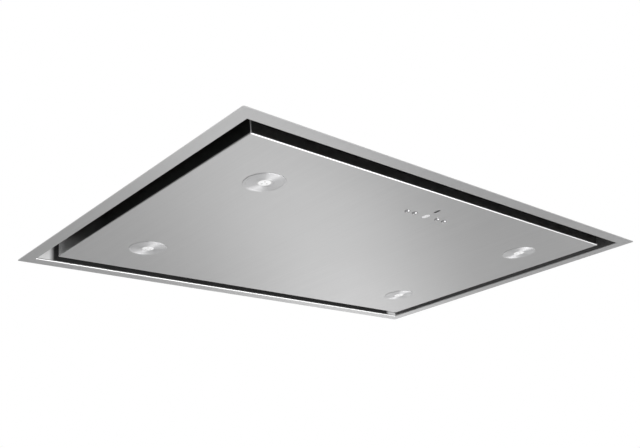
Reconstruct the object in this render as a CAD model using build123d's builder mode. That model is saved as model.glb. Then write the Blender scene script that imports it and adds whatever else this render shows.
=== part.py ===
"""Ceiling range hood with a flush perimeter-extraction panel, built as separate pieces.

Millimetres, +Z up, +X along the long side, front (the side with the push buttons) at -Y.
The origin is the centre of the hood in the plane of the ceiling: the trim flange's upper
face lies at Z = 0 against the ceiling, everything above it is hidden in the ceiling void,
and the hinged panel closes flush with the flange's lower face.
"""

import math
import os

from build123d import *

os.makedirs("parts", exist_ok=True)

# ---------------------------------------------------------------- driving dimensions (mm)

# Trim frame: flat stainless flange with a collar turned up from its inner edge
trim_length = 900.0
trim_width = 600.0
flange_width = 22.0
stainless = 1.0
trim_corner_radius = 3.0
collar_height = 45.0
fold_radius = 1.3

# Hinged panel: stainless tray with a folded skirt and a return lip
slot_width = 25.0
skirt_height = 24.0
lip_width = 12.0
panel_corner_radius = 1.5

# Casing above the ceiling: zinc-plated sheet
fit = 0.3
casing_sheet = 1.0
casing_height = 95.0
casing_flange = 15.0
collar_screw_level = 30.0
tray_screw_level = 52.0
side_screw_reach_x = 340.0
side_screw_reach_y = 200.0
roof_screw_reach_x = 360.0
roof_screw_reach_y = 150.0

# Filter tray across the casing, above the panel
tray_level = 60.0
tray_sheet = 1.2
filter_end_gap = 34.8
filter_middle_gap = 6.0
filter_width = 300.0
filter_height = 9.0
filter_channel = 12.0
filter_sheet = 1.0
filter_pad = 2.0
tray_opening_margin = 16.0

# Sprung latch of a filter, and the rails under the tray that carry the filters
latch_width = 48.0
latch_depth = 32.0
latch_plate = 2.0
latch_tongue = 6.0
latch_pull_height = 6.0
latch_guide = 3.0
latch_travel = 5.5
latch_edge_radius = 0.5
rail_sheet = 1.2
rail_lip = 7.5
rail_flange = 14.0
rail_end_gap = 28.0

# Panel hinge along the back, and the magnetic catch at the front
hinge_pin_inset = 18.0
hinge_pin_level = 34.0
hinge_pin_diameter = 6.0
hinge_knuckle_radius = 8.0
hinge_arm_thickness = 2.5
hinge_cheek_thickness = 2.0
hinge_base_width = 30.0
hinge_end_inset = 38.0
hinge_arm_foot = 60.0
hinge_arm_setback = 8.0
hinge_arm_angle = -25.0
hinge_pin_head_radius = 5.0
hinge_pin_head_height = 1.5
running_clearance = 0.05
stiffener_width = 30.0
stiffener_height = 16.0
strike_thickness = 2.5
magnet_length = 28.0
magnet_width = 14.0
magnet_height = 8.0
magnet_post_length = 14.0
magnet_foot_length = 42.0
catch_gap = 4.0
foot_margin = 2.0

# Four recessed spot lamps
lamp_inset = 103.0
bezel_diameter = 60.0
bezel_proud = 0.8
bezel_rim_radius = 0.5
spigot_diameter = 53.4
spigot_height = 12.0
lens_diameter = 19.6
lens_crown = 0.5
lens_seat_diameter = 24.0
lens_seat_depth = 1.6
lens_flange_height = 3.0
lamp_body_diameter = 48.0
lamp_body_height = 24.0
lamp_fin_count = 16
lamp_fin_depth = 5.0
lamp_fin_gap = 3.2
lock_ring_diameter = 64.0
lock_ring_height = 5.0
lock_ring_sides = 12

# Control cluster in the middle of the front edge
control_row = -182.0
button_outer_offset = 44.0
button_inner_offset = 27.0
button_diameter = 9.0
button_proud = 2.6
button_side = 0.6
button_clearance = 0.25
button_collar_diameter = 12.0
button_collar_height = 1.2
button_stem_diameter = 4.4
button_travel = 1.2
window_length = 15.0
window_width = 10.0
receiver_row = -205.0
receiver_length = 12.0
receiver_width = 4.5
window_flange = 1.5
board_level = 9.0
board_thickness = 1.6
board_length = 116.0
board_width = 50.0
switch_diameter = 5.0
switch_height = 1.4
display_block_length = 18.0
display_block_width = 13.0
receiver_block = 6.0
connector_length = 12.0
connector_width = 22.0
connector_height = 7.0
connector_offset = 38.0
spring_mean_diameter = 7.6
spring_wire = 0.6
spring_turns = 5
housing_wall = 2.0
housing_height = 21.0
housing_margin = 1.0
housing_ledge = 1.5
housing_corner_radius = 3.0

# Blower box on the casing roof
box_length = 400.0
box_width = 344.0
box_height = 169.0
box_flange = 14.0
box_screw_reach_x = 150.0
box_screw_reach_y = 110.0

# Double-inlet blower with its axis along X
blower_level = 172.0
impeller_diameter = 160.0
impeller_length = 120.0
blade_count = 36
blade_depth = 15.0
blade_thickness = 1.2
blade_camber = 3.0
blade_tip_rise = 2.0
impeller_disc = 3.0
impeller_ring = 3.0
hub_diameter = 26.0
hub_length = 24.0
shaft_diameter = 8.0
scroll_half_length = 68.0
scroll_sheet = 1.5
scroll_tongue_radius = 86.0
scroll_end_radius = 118.0
scroll_tongue_angle = 62.0
scroll_step_angle = 45.0
scroll_mouth_inner = 44.0
scroll_flange = 10.0
inlet_radius = 62.0
inlet_lip = 6.0
motor_diameter = 84.0
motor_length = 56.0
motor_gap = 6.0
bracket_hub_diameter = 60.0
bracket_arm_width = 16.0
bracket_arm_length = 74.0
bracket_thickness = 3.0

# Duct outlet on the blower box
duct_diameter = 150.0
spigot_wall = 2.0
outlet_flange = 12.0
outlet_plate = 2.0
outlet_transition = 20.0
outlet_spigot_height = 30.0
flap_thickness = 1.5
flap_clearance = 1.2
flap_ledge = 4.0
flap_pin_diameter = 3.0
flap_knuckle_diameter = 6.4
flap_knuckle_length = 22.0
flap_knuckle_gap = 1.0
flap_knuckle_relief = 0.4

# Suspension brackets on the casing roof
hanging_inset = 60.0
hanging_hole_diameter = 9.0
hanging_height = 36.0
hanging_width = 40.0
hanging_foot = 34.0
hanging_ear = 34.0
hanging_sheet = 2.5

# Electronics beside the blower
electronics_length = 130.0
electronics_width = 200.0
electronics_height = 52.0
electronics_gap = 35.0
power_board_margin_x = 8.0
power_board_margin_y = 16.0
standoff_height = 6.0
power_part_inset = 15.0
power_part_height = 28.0
transformer_length = 38.0
transformer_width = 44.0
capacitor_diameter = 32.0
terminal_length = 60.0
terminal_width = 18.0
gland_diameter = 18.0
gland_bore = 8.0
gland_nut_rim = 4.0
gland_nut_height = 7.0
gland_body_length = 22.0
gland_taper = 6.0

# Pan-head screws
screw_diameter = 4.0
screw_head_diameter = 8.0
screw_head_height = 2.4
screw_length = 8.0
side_screw_length = 3.0
screw_clearance = 0.2

# ------------------------------------------------------------------- derived reference data

face_level = -stainless
opening_length = trim_length - 2 * flange_width
opening_width = trim_width - 2 * flange_width
panel_length = opening_length - 2 * slot_width
panel_width = opening_width - 2 * slot_width
casing_inner_x = opening_length / 2 + stainless + fit
casing_inner_y = opening_width / 2 + stainless + fit
tray_top = tray_level + tray_sheet
roof_top = casing_height + casing_sheet
tray_half_x = casing_inner_x - fit
tray_half_y = casing_inner_y - fit
filter_length = tray_half_x - tray_sheet - filter_end_gap - filter_middle_gap / 2
filter_spacing = filter_length + filter_middle_gap
rail_length = 2 * (tray_half_x - tray_sheet - rail_end_gap)
hinge_spacing = panel_length - 2 * hinge_end_inset
hanging_spacing_x = trim_length - 2 * hanging_inset
hanging_spacing_y = trim_width - 2 * hanging_inset
electronics_offset = box_length / 2 + electronics_gap + electronics_length / 2
box_top = roof_top + box_height
box_roof_top = box_top + casing_sheet
control_buttons = (-button_outer_offset, -button_inner_offset, button_inner_offset, button_outer_offset)
lamp_reach_x = panel_length / 2 - lamp_inset
lamp_reach_y = panel_width / 2 - lamp_inset
lamp_places = [
    (-lamp_reach_x, -lamp_reach_y),
    (lamp_reach_x, -lamp_reach_y),
    (-lamp_reach_x, lamp_reach_y),
    (lamp_reach_x, lamp_reach_y),
]


def save(builder, name):
    """Label a finished piece and write its STEP file."""
    builder.part.label = name
    export_step(builder.part, f"parts/{name}.step")


def screw_holes(planes, length=screw_length):
    """Cut the clearance holes of the screws that enter the current part along -Z of these planes."""
    with Locations(*planes):
        Hole(screw_diameter / 2 + screw_clearance, depth=length + screw_clearance)


def screws(planes, length=screw_length):
    """Add pan-head screws whose heads sit on the planes and whose shanks point along -Z."""
    with Locations(*planes):
        Cylinder(
            screw_head_diameter / 2, screw_head_height, align=(Align.CENTER, Align.CENTER, Align.MIN)
        )
        Cylinder(screw_diameter / 2, length, align=(Align.CENTER, Align.CENTER, Align.MAX))


# ------------------------------------------------------------------------------- trim frame

casing_outer_x = casing_inner_x + casing_sheet
casing_outer_y = casing_inner_y + casing_sheet
side_screw_planes = []
for level in (collar_screw_level, tray_screw_level):
    for along in (-side_screw_reach_x, side_screw_reach_x):
        for facing in (-1, 1):
            side_screw_planes.append(
                Plane((along, facing * casing_outer_y, level), x_dir=(1, 0, 0), z_dir=(0, facing, 0))
            )
    for along in (-side_screw_reach_y, side_screw_reach_y):
        for facing in (-1, 1):
            side_screw_planes.append(
                Plane((facing * casing_outer_x, along, level), x_dir=(0, 1, 0), z_dir=(facing, 0, 0))
            )

with BuildPart() as trim_frame:
    with BuildSketch(Plane.XY.offset(face_level)):
        RectangleRounded(trim_length, trim_width, trim_corner_radius)
    extrude(amount=stainless)
    with BuildSketch(Plane.XY.offset(face_level)):
        Rectangle(opening_length + 2 * stainless, opening_width + 2 * stainless)
    extrude(amount=stainless + collar_height)
    with BuildSketch(Plane.XY.offset(face_level)):
        Rectangle(opening_length, opening_width)
    extrude(amount=stainless + collar_height, mode=Mode.SUBTRACT)
    lower_edges = trim_frame.edges().group_by(Axis.Z)[0].filter_by(GeomType.LINE)
    inner_fold = lower_edges.filter_by(
        lambda e: abs(e.center().X) < opening_length / 2 + fit and abs(e.center().Y) < opening_width / 2 + fit
    )
    fillet(inner_fold, fold_radius)
    screw_holes(side_screw_planes, side_screw_length)
save(trim_frame, "trim_frame")

# ------------------------------------------------------------------------------ casing walls


def wall_section_plane(inward, distance):
    """Plane across a wall at its middle: local X points inward, local Y up, normal along the wall."""
    along = Vector(inward).rotate(Axis.Z, -90)
    return Plane(origin=Vector(inward) * -distance, x_dir=inward, z_dir=along)


roof_screw_inset = casing_flange / 2 + casing_sheet
roof_screw_planes = []
for facing in (-1, 1):
    for along in (-roof_screw_reach_x, 0.0, roof_screw_reach_x):
        roof_screw_planes.append(
            Plane((along, facing * (casing_outer_y - roof_screw_inset), roof_top))
        )
    for along in (-roof_screw_reach_y, roof_screw_reach_y):
        roof_screw_planes.append(
            Plane((facing * (casing_outer_x - roof_screw_inset), along, roof_top))
        )

side_flange_length = 2 * (casing_inner_y - casing_flange - fit)
casing_walls = {
    "casing_front": ((0, 1, 0), casing_inner_y, 2 * casing_outer_x, 2 * casing_inner_x),
    "casing_back": ((0, -1, 0), casing_inner_y, 2 * casing_outer_x, 2 * casing_inner_x),
    "casing_left": ((1, 0, 0), casing_inner_x, 2 * casing_inner_y, side_flange_length),
    "casing_right": ((-1, 0, 0), casing_inner_x, 2 * casing_inner_y, side_flange_length),
}
for name, (inward, distance, wall_length, flange_length) in casing_walls.items():
    section = wall_section_plane(inward, distance)
    with BuildPart() as wall:
        with BuildSketch(section):
            with Locations((-casing_sheet / 2, casing_height / 2)):
                Rectangle(casing_sheet, casing_height)
        extrude(amount=wall_length / 2, both=True)
        with BuildSketch(section):
            with Locations((casing_flange / 2, casing_height - casing_sheet / 2)):
                Rectangle(casing_flange, casing_sheet)
        extrude(amount=flange_length / 2, both=True)
        screw_holes(side_screw_planes, side_screw_length)
        screw_holes(roof_screw_planes)
    save(wall, name)

# ------------------------------------------------------------------------------- casing roof

box_inner_length = box_length - 2 * casing_sheet
box_inner_width = box_width - 2 * casing_sheet
box_screw_planes = []
for facing in (-1, 1):
    for along in (-box_screw_reach_x, box_screw_reach_x):
        box_screw_planes.append(
            Plane((along, facing * (box_width / 2 + box_flange / 2), roof_top + casing_sheet))
        )
    for along in (-box_screw_reach_y, box_screw_reach_y):
        box_screw_planes.append(
            Plane((facing * (box_length / 2 + box_flange / 2), along, roof_top + casing_sheet))
        )

bracket_screw_planes = []
for side_x in (-1, 1):
    for side_y in (-1, 1):
        for across in (-hanging_width / 4, hanging_width / 4):
            bracket_screw_planes.append(
                Plane(
                    (
                        side_x * (hanging_spacing_x / 2 - hanging_ear / 2 - hanging_foot / 2),
                        side_y * hanging_spacing_y / 2 + across,
                        roof_top + hanging_sheet,
                    )
                )
            )

with BuildPart() as casing_roof:
    with BuildSketch(Plane.XY.offset(casing_height)):
        Rectangle(2 * casing_outer_x, 2 * casing_outer_y)
        Rectangle(box_inner_length, box_inner_width, mode=Mode.SUBTRACT)
    extrude(amount=casing_sheet)
    screw_holes(roof_screw_planes + box_screw_planes + bracket_screw_planes)
save(casing_roof, "casing_roof")

with BuildPart() as casing_screws:
    screws(side_screw_planes, side_screw_length)
    screws(roof_screw_planes + box_screw_planes + bracket_screw_planes)
save(casing_screws, "casing_screws")

# ------------------------------------------------------------------------- hanging brackets

with BuildPart() as hanging_brackets:
    for side_x in (-1, 1):
        for side_y in (-1, 1):
            hole_x = side_x * hanging_spacing_x / 2
            hole_y = side_y * hanging_spacing_y / 2
            upright_x = hole_x - side_x * hanging_ear / 2
            foot_x = upright_x - side_x * hanging_foot / 2
            with BuildSketch(Plane((foot_x, hole_y, roof_top))):
                Rectangle(hanging_foot, hanging_width)
            extrude(amount=hanging_sheet)
            with BuildSketch(Plane((upright_x - side_x * hanging_sheet / 2, hole_y, roof_top))):
                Rectangle(hanging_sheet, hanging_width)
            extrude(amount=hanging_height)
            with BuildSketch(Plane((hole_x, hole_y, roof_top + hanging_height))):
                with Locations((-side_x * hanging_sheet / 2, 0)):
                    Rectangle(hanging_ear + hanging_sheet, hanging_width)
                Circle(hanging_hole_diameter / 2, mode=Mode.SUBTRACT)
            extrude(amount=-hanging_sheet)
    screw_holes(bracket_screw_planes)
save(hanging_brackets, "hanging_brackets")

# ------------------------------------------------------------------------------- filter tray

tray_skirt = tray_level - collar_height
tray_opening_length = filter_length - 2 * tray_opening_margin
tray_opening_width = filter_width - 2 * tray_opening_margin
filter_centres = (-filter_spacing / 2, filter_spacing / 2)

with BuildPart() as filter_tray:
    with BuildSketch(Plane.XY.offset(tray_top)):
        Rectangle(2 * tray_half_x, 2 * tray_half_y)
    extrude(amount=-(tray_sheet + tray_skirt))
    with BuildSketch(Plane.XY.offset(tray_level)):
        Rectangle(2 * (tray_half_x - tray_sheet), 2 * (tray_half_y - tray_sheet))
    extrude(amount=-tray_skirt, mode=Mode.SUBTRACT)
    with BuildSketch(Plane.XY.offset(tray_top)):
        for centre_x in filter_centres:
            with Locations((centre_x, 0)):
                Rectangle(tray_opening_length, tray_opening_width)
    extrude(amount=-tray_sheet, mode=Mode.SUBTRACT)
    screw_holes(side_screw_planes, side_screw_length)
save(filter_tray, "filter_tray")

# ---------------------------------------------------------------------------- grease filters

filter_top = tray_level - fit
filter_bottom = filter_top - filter_height
filter_front = -filter_width / 2
latch_top = filter_bottom - fit
latch_bottom = latch_top - latch_plate

for side, centre_x in zip(("left", "right"), filter_centres):
    with BuildPart() as filter_frame:
        with BuildSketch(Plane((centre_x, 0, filter_bottom))):
            Rectangle(filter_length, filter_width)
        extrude(amount=filter_height)
        with BuildSketch(Plane((centre_x, 0, filter_bottom + filter_sheet))):
            Rectangle(filter_length - 2 * filter_sheet, filter_width - 2 * filter_sheet)
        extrude(amount=filter_height - 2 * filter_sheet, mode=Mode.SUBTRACT)
        with BuildSketch(Plane((centre_x, 0, filter_bottom))):
            Rectangle(filter_length - 2 * filter_channel, filter_width - 2 * filter_channel)
        extrude(amount=filter_height, mode=Mode.SUBTRACT)
        for guide_side in (-1, 1):
            guide_x = centre_x + guide_side * (latch_width / 2 + fit)
            guide_depth = filter_channel - 2 * filter_sheet
            guide_y = filter_front + filter_sheet + guide_depth / 2
            with BuildSketch(Plane((guide_x, guide_y, filter_bottom))):
                with Locations((guide_side * filter_sheet / 2, 0)):
                    Rectangle(filter_sheet, guide_depth)
            extrude(amount=-(latch_plate + 2 * fit + filter_sheet))
            with BuildSketch(Plane((guide_x, guide_y, latch_bottom - fit))):
                with Locations((guide_side * (filter_sheet - latch_guide) / 2, 0)):
                    Rectangle(filter_sheet + latch_guide, guide_depth)
            extrude(amount=-filter_sheet)
    save(filter_frame, f"filter_frame_{side}")

    with BuildPart() as filter_mesh:
        with BuildSketch(Plane((centre_x, 0, filter_bottom + filter_sheet + fit))):
            Rectangle(filter_length - 2 * (filter_sheet + fit), filter_width - 2 * (filter_sheet + fit))
        extrude(amount=filter_pad)
    save(filter_mesh, f"filter_mesh_{side}")

    with BuildPart() as filter_latch:
        with BuildSketch(Plane((centre_x, filter_front, latch_bottom))):
            with Locations((0, latch_depth / 2)):
                Rectangle(latch_width, latch_depth)
            with Locations((0, -latch_tongue / 2)):
                Rectangle(latch_width - 2 * latch_guide, latch_tongue)
        extrude(amount=latch_plate)
        with BuildSketch(Plane((centre_x, filter_front + latch_depth - latch_plate, latch_bottom))):
            Rectangle(latch_width - 2 * latch_guide, 2 * latch_plate)
        extrude(amount=-latch_pull_height)
        pull_edges = filter_latch.edges().group_by(Axis.Z)[0]
        fillet(pull_edges, latch_edge_radius)
    save(filter_latch, f"filter_latch_{side}")

# ------------------------------------------------------------------------------ filter rails

keeper_lip_top = latch_bottom - fit
keeper_lip_inner = latch_tongue - latch_travel + fit
with BuildPart() as filter_rail_front:
    with BuildSketch(Plane(origin=(0, filter_front, 0), x_dir=(0, -1, 0), z_dir=(-1, 0, 0))):
        web_x = keeper_lip_inner + rail_lip
        web_height = tray_level - keeper_lip_top + rail_sheet
        with Locations((keeper_lip_inner + rail_lip / 2, keeper_lip_top - rail_sheet / 2)):
            Rectangle(rail_lip, rail_sheet)
        with Locations((web_x + rail_sheet / 2, tray_level - web_height / 2)):
            Rectangle(rail_sheet, web_height)
        with Locations((web_x + rail_flange / 2, tray_level - rail_sheet / 2)):
            Rectangle(rail_flange, rail_sheet)
    extrude(amount=rail_length / 2, both=True)
save(filter_rail_front, "filter_rail_front")

rear_lip_top = filter_bottom - fit
with BuildPart() as filter_rail_rear:
    with BuildSketch(Plane(origin=(0, -filter_front, 0), x_dir=(0, 1, 0), z_dir=(1, 0, 0))):
        web_height = tray_level - rear_lip_top + rail_sheet
        with Locations((fit - rail_lip / 2, rear_lip_top - rail_sheet / 2)):
            Rectangle(rail_lip, rail_sheet)
        with Locations((fit + rail_sheet / 2, tray_level - web_height / 2)):
            Rectangle(rail_sheet, web_height)
        with Locations((fit + rail_flange / 2, tray_level - rail_sheet / 2)):
            Rectangle(rail_flange, rail_sheet)
    extrude(amount=rail_length / 2, both=True)
save(filter_rail_rear, "filter_rail_rear")

# ---------------------------------------------------------------------------- hinged panel

back_level = face_level + stainless
lamp_hole_radius = spigot_diameter / 2 + fit
button_hole_radius = button_diameter / 2 + button_clearance

with BuildPart() as perimeter_panel:
    with BuildSketch(Plane.XY.offset(face_level)):
        RectangleRounded(panel_length, panel_width, panel_corner_radius)
    extrude(amount=stainless + skirt_height)
    fillet(perimeter_panel.edges().group_by(Axis.Z)[0], fold_radius)
    with BuildSketch(Plane.XY.offset(back_level)):
        Rectangle(panel_length - 2 * stainless, panel_width - 2 * stainless)
    extrude(amount=skirt_height - stainless, mode=Mode.SUBTRACT)
    with BuildSketch(Plane.XY.offset(back_level + skirt_height)):
        Rectangle(
            panel_length - 2 * (stainless + lip_width), panel_width - 2 * (stainless + lip_width)
        )
    extrude(amount=-2 * stainless, mode=Mode.SUBTRACT)
    with BuildSketch(Plane.XY.offset(face_level)):
        with Locations(*lamp_places):
            Circle(lamp_hole_radius)
        for button_x in control_buttons:
            with Locations((button_x, control_row)):
                Circle(button_hole_radius)
        with Locations((0, control_row)):
            SlotOverall(window_length + 2 * fit, window_width + 2 * fit, rotation=90)
        with Locations((0, receiver_row)):
            SlotOverall(receiver_length + 2 * fit, receiver_width + 2 * fit, rotation=90)
    extrude(amount=stainless, mode=Mode.SUBTRACT)
save(perimeter_panel, "perimeter_panel")

# ------------------------------------------------------------------ stiffeners of the panel

stiffener_length = panel_width - 2 * stainless - 2 * fit
for side, side_x in (("left", -1), ("right", 1)):
    centre_x = side_x * hinge_spacing / 2
    with BuildPart() as stiffener:
        with BuildSketch(Plane(origin=(centre_x, 0, back_level), x_dir=(1, 0, 0), z_dir=(0, -1, 0))):
            with Locations((0, stiffener_height / 2)):
                Rectangle(stiffener_width, stiffener_height)
            with Locations((0, (stiffener_height - stainless) / 2)):
                Rectangle(
                    stiffener_width - 2 * stainless, stiffener_height - stainless, mode=Mode.SUBTRACT
                )
        extrude(amount=stiffener_length / 2, both=True)
    save(stiffener, f"panel_stiffener_{side}")

# -------------------------------------------------------------------------- panel hinges

stiffener_top = back_level + stiffener_height
pin_y = panel_width / 2 - hinge_pin_inset
pin_z = hinge_pin_level
knuckle_corner_y = hinge_knuckle_radius * math.cos(math.radians(hinge_arm_angle))
knuckle_corner_z = pin_z + hinge_knuckle_radius * math.sin(math.radians(hinge_arm_angle))
cheek_gap = hinge_arm_thickness + 2 * fit
pin_length = cheek_gap + 2 * hinge_cheek_thickness + foot_margin
pin_hole_radius = hinge_pin_diameter / 2 + running_clearance

with BuildPart() as hinge_arms:
    for side_x in (-1, 1):
        centre_x = side_x * hinge_spacing / 2
        with BuildSketch(Plane((centre_x, pin_y - hinge_arm_foot / 2 - hinge_arm_setback, stiffener_top))):
            Rectangle(stiffener_width - 2 * foot_margin, hinge_arm_foot)
        extrude(amount=hinge_arm_thickness)
        with BuildSketch(
            Plane(origin=(centre_x - hinge_arm_thickness / 2, pin_y, 0), x_dir=(0, 1, 0), z_dir=(1, 0, 0))
        ):
            with BuildLine():
                Polyline(
                    (-hinge_arm_foot / 2, stiffener_top + hinge_arm_thickness),
                    (-hinge_arm_setback, stiffener_top + hinge_arm_thickness),
                    (knuckle_corner_y, knuckle_corner_z),
                    (0, pin_z + hinge_knuckle_radius),
                    (-hinge_arm_foot / 2, stiffener_top + hinge_arm_thickness),
                )
            make_face()
            with Locations((0, pin_z)):
                Circle(hinge_knuckle_radius)
                Circle(pin_hole_radius, mode=Mode.SUBTRACT)
        extrude(amount=hinge_arm_thickness)
save(hinge_arms, "hinge_arms")

with BuildPart() as hinge_brackets:
    for side_x in (-1, 1):
        centre_x = side_x * hinge_spacing / 2
        with BuildSketch(Plane((centre_x, pin_y - hinge_base_width / 2 + hinge_knuckle_radius, tray_level))):
            Rectangle(hinge_base_width, hinge_base_width)
        extrude(amount=-hinge_cheek_thickness)
        for cheek_side in (-1, 1):
            cheek_x = centre_x + cheek_side * (cheek_gap + hinge_cheek_thickness) / 2
            with BuildSketch(
                Plane(
                    origin=(cheek_x - hinge_cheek_thickness / 2, pin_y, 0),
                    x_dir=(0, 1, 0),
                    z_dir=(1, 0, 0),
                )
            ):
                with Locations((0, (pin_z + tray_level) / 2)):
                    Rectangle(2 * hinge_knuckle_radius, tray_level - pin_z)
                with Locations((0, pin_z)):
                    Circle(hinge_knuckle_radius)
                    Circle(pin_hole_radius, mode=Mode.SUBTRACT)
            extrude(amount=hinge_cheek_thickness)
save(hinge_brackets, "hinge_brackets")

with BuildPart() as hinge_pins:
    for side_x in (-1, 1):
        centre_x = side_x * hinge_spacing / 2
        head_x = centre_x + side_x * (cheek_gap / 2 + hinge_cheek_thickness + fit)
        pin_plane = Plane(origin=(head_x, pin_y, pin_z), x_dir=(0, 1, 0), z_dir=(side_x, 0, 0))
        with BuildSketch(pin_plane):
            Circle(hinge_pin_head_radius)
        extrude(amount=hinge_pin_head_height)
        with BuildSketch(pin_plane):
            Circle(hinge_pin_diameter / 2)
        extrude(amount=-pin_length)
save(hinge_pins, "hinge_pins")

# ------------------------------------------------------------------------- magnetic catches

catch_y = -(panel_width / 2 - stainless - lip_width - catch_gap - magnet_width / 2)
strike_top = stiffener_top + strike_thickness
magnet_bottom = strike_top + fit
magnet_top = magnet_bottom + magnet_height
with BuildPart() as catch_strikes:
    for side_x in (-1, 1):
        with BuildSketch(Plane((side_x * hinge_spacing / 2, catch_y, stiffener_top))):
            RectangleRounded(stiffener_width - 2 * foot_margin, magnet_width + 2 * foot_margin, foot_margin)
        extrude(amount=strike_thickness)
save(catch_strikes, "catch_strikes")

with BuildPart() as catch_magnets:
    for side_x in (-1, 1):
        centre_x = side_x * hinge_spacing / 2
        with BuildSketch(Plane((centre_x, catch_y, magnet_bottom))):
            Rectangle(magnet_length, magnet_width)
        extrude(amount=magnet_height)
        with BuildSketch(Plane((centre_x, catch_y, magnet_top))):
            Rectangle(magnet_post_length, magnet_width)
        extrude(amount=tray_level - magnet_top)
        with BuildSketch(Plane((centre_x, catch_y, tray_level))):
            Rectangle(magnet_foot_length, magnet_width)
        extrude(amount=-hinge_cheek_thickness)
save(catch_magnets, "catch_magnets")

# ------------------------------------------------------------------------------------ lamps

bezel_face = face_level - bezel_proud
spigot_top = back_level + spigot_height
lens_boss_radius = lens_diameter / 2
lens_flange_radius = lens_seat_diameter / 2 - fit
for number, (lamp_x, lamp_y) in enumerate(lamp_places, start=1):
    lamp_axis_plane = Plane(origin=(lamp_x, lamp_y, 0), x_dir=(1, 0, 0), z_dir=(0, -1, 0))
    with BuildPart() as bezel:
        with BuildSketch(lamp_axis_plane):
            with BuildLine():
                Polyline(
                    (lens_boss_radius + fit, bezel_face),
                    (bezel_diameter / 2, bezel_face),
                    (bezel_diameter / 2, face_level),
                    (spigot_diameter / 2, face_level),
                    (spigot_diameter / 2, spigot_top),
                    (lens_seat_diameter / 2, spigot_top),
                    (lens_seat_diameter / 2, bezel_face + lens_seat_depth),
                    (lens_boss_radius + fit, bezel_face + lens_seat_depth),
                    close=True,
                )
            make_face()
        revolve(axis=Axis((lamp_x, lamp_y, 0), (0, 0, 1)))
        fillet(bezel.edges().group_by(Axis.Z)[0].sort_by(SortBy.RADIUS)[-1], bezel_rim_radius)
    save(bezel, f"lamp_bezel_{number}")

with BuildPart() as lamp_lenses:
    for lamp_x, lamp_y in lamp_places:
        with BuildSketch(Plane(origin=(lamp_x, lamp_y, 0), x_dir=(1, 0, 0), z_dir=(0, -1, 0))):
            with BuildLine():
                TangentArc((0, bezel_face - lens_crown), (lens_boss_radius, bezel_face), tangent=(1, 0))
                Polyline(
                    (lens_boss_radius, bezel_face),
                    (lens_boss_radius, bezel_face + lens_seat_depth),
                    (lens_flange_radius, bezel_face + lens_seat_depth),
                    (lens_flange_radius, bezel_face + lens_seat_depth + lens_flange_height),
                    (0, bezel_face + lens_seat_depth + lens_flange_height),
                    (0, bezel_face - lens_crown),
                )
            make_face()
        revolve(axis=Axis((lamp_x, lamp_y, 0), (0, 0, 1)))
save(lamp_lenses, "lamp_lenses")

with BuildPart() as lamp_bodies:
    for lamp_x, lamp_y in lamp_places:
        with BuildSketch(Plane((lamp_x, lamp_y, spigot_top))):
            Circle(lamp_body_diameter / 2)
            with PolarLocations(lamp_body_diameter / 2 - lamp_fin_depth / 2, lamp_fin_count):
                Rectangle(lamp_fin_depth, lamp_fin_gap, mode=Mode.SUBTRACT)
        extrude(amount=lamp_body_height)
save(lamp_bodies, "lamp_bodies")

with BuildPart() as lamp_lock_rings:
    for lamp_x, lamp_y in lamp_places:
        with BuildSketch(Plane((lamp_x, lamp_y, back_level))):
            RegularPolygon(lock_ring_diameter / 2, lock_ring_sides)
            Circle(spigot_diameter / 2 + running_clearance, mode=Mode.SUBTRACT)
        extrude(amount=lock_ring_height)
save(lamp_lock_rings, "lamp_lock_rings")

# --------------------------------------------------------------------- buttons and windows

collar_top = back_level + button_collar_height
stem_top = board_level - switch_height - button_travel - fit / 2
dome_base = face_level - button_side
for number, button_x in enumerate(control_buttons, start=1):
    with BuildPart() as button:
        with BuildSketch(Plane(origin=(button_x, control_row, 0), x_dir=(1, 0, 0), z_dir=(0, -1, 0))):
            with BuildLine():
                TangentArc((0, face_level - button_proud), (button_diameter / 2, dome_base), tangent=(1, 0))
                Polyline(
                    (button_diameter / 2, dome_base),
                    (button_diameter / 2, back_level),
                    (button_collar_diameter / 2, back_level),
                    (button_collar_diameter / 2, collar_top),
                    (button_stem_diameter / 2, collar_top),
                    (button_stem_diameter / 2, stem_top),
                    (0, stem_top),
                    (0, face_level - button_proud),
                )
            make_face()
        revolve(axis=Axis((button_x, control_row, 0), (0, 0, 1)))
    save(button, f"button_{number}")

spring_bottom = collar_top
spring_top = board_level
with BuildPart() as button_springs:
    for button_x in control_buttons:
        spring_height = spring_top - spring_bottom - spring_wire - fit
        start_z = spring_bottom + spring_wire / 2 + fit / 2
        with BuildLine() as coil:
            Helix(
                pitch=spring_height / spring_turns,
                height=spring_height,
                radius=spring_mean_diameter / 2,
                center=(button_x, control_row, start_z),
            )
        with BuildSketch(Plane(origin=coil.line @ 0, z_dir=coil.line % 0)):
            Circle(spring_wire / 2)
        sweep(path=coil.line, is_frenet=True)
save(button_springs, "button_springs")
print("least gap between button spring turns", round(spring_height / spring_turns - spring_wire, 3))


def window(name, centre_y, length, width):
    """Flush window pressed through its slot, with a thin flange against the panel's back."""
    with BuildPart() as pane:
        with BuildSketch(Plane((0, centre_y, face_level))):
            SlotOverall(length, width, rotation=90)
        extrude(amount=stainless)
        with BuildSketch(Plane((0, centre_y, back_level))):
            SlotOverall(length + 2 * window_flange, width + 2 * window_flange, rotation=90)
        extrude(amount=window_flange)
    save(pane, name)


window("display_window", control_row, window_length, window_width)
window("receiver_window", receiver_row, receiver_length, receiver_width)

# -------------------------------------------------------------- control board and its housing

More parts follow.
